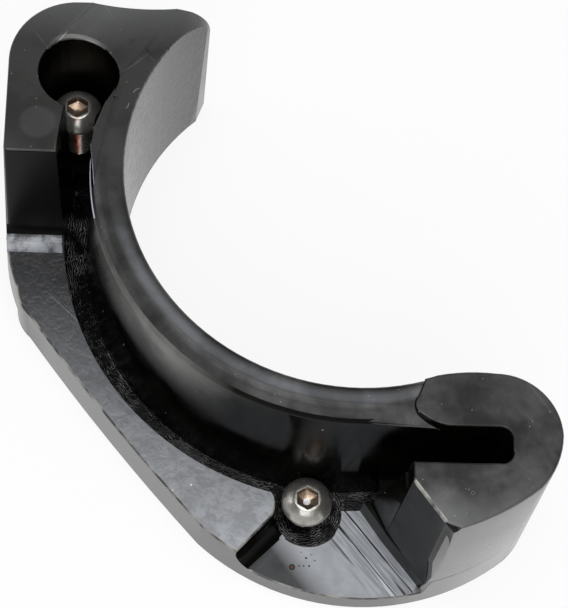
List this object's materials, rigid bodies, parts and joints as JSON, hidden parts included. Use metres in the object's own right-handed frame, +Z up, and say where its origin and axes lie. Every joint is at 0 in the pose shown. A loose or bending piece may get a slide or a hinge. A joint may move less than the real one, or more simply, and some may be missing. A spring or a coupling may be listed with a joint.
{
  "type": "engine case saver",
  "caption": "Moulded C-shaped guard for a motorcycle's drive sprocket, with a block, a slotted lobe and button head screws.",
  "frame": {"origin": "on the ground, under the middle of the overall box of the moulding", "axes": "+Z up, along the axis of the sprocket that the saver goes round; +Y along the longer side in plan, towards the end with the block; +X towards the open side of the C"},
  "size_m": [0.1135, 0.1184, 0.047],
  "materials": {
    "moulding": "black glass-filled nylon, satin on top and glossy in the channel",
    "screws": "plain stainless steel, lightly worn"
  },
  "bodies": {
    "root": {"case_saver_body": "moulding", "front_screw": "screws", "rear_screw": "screws"}
  },
  "joints": []
}
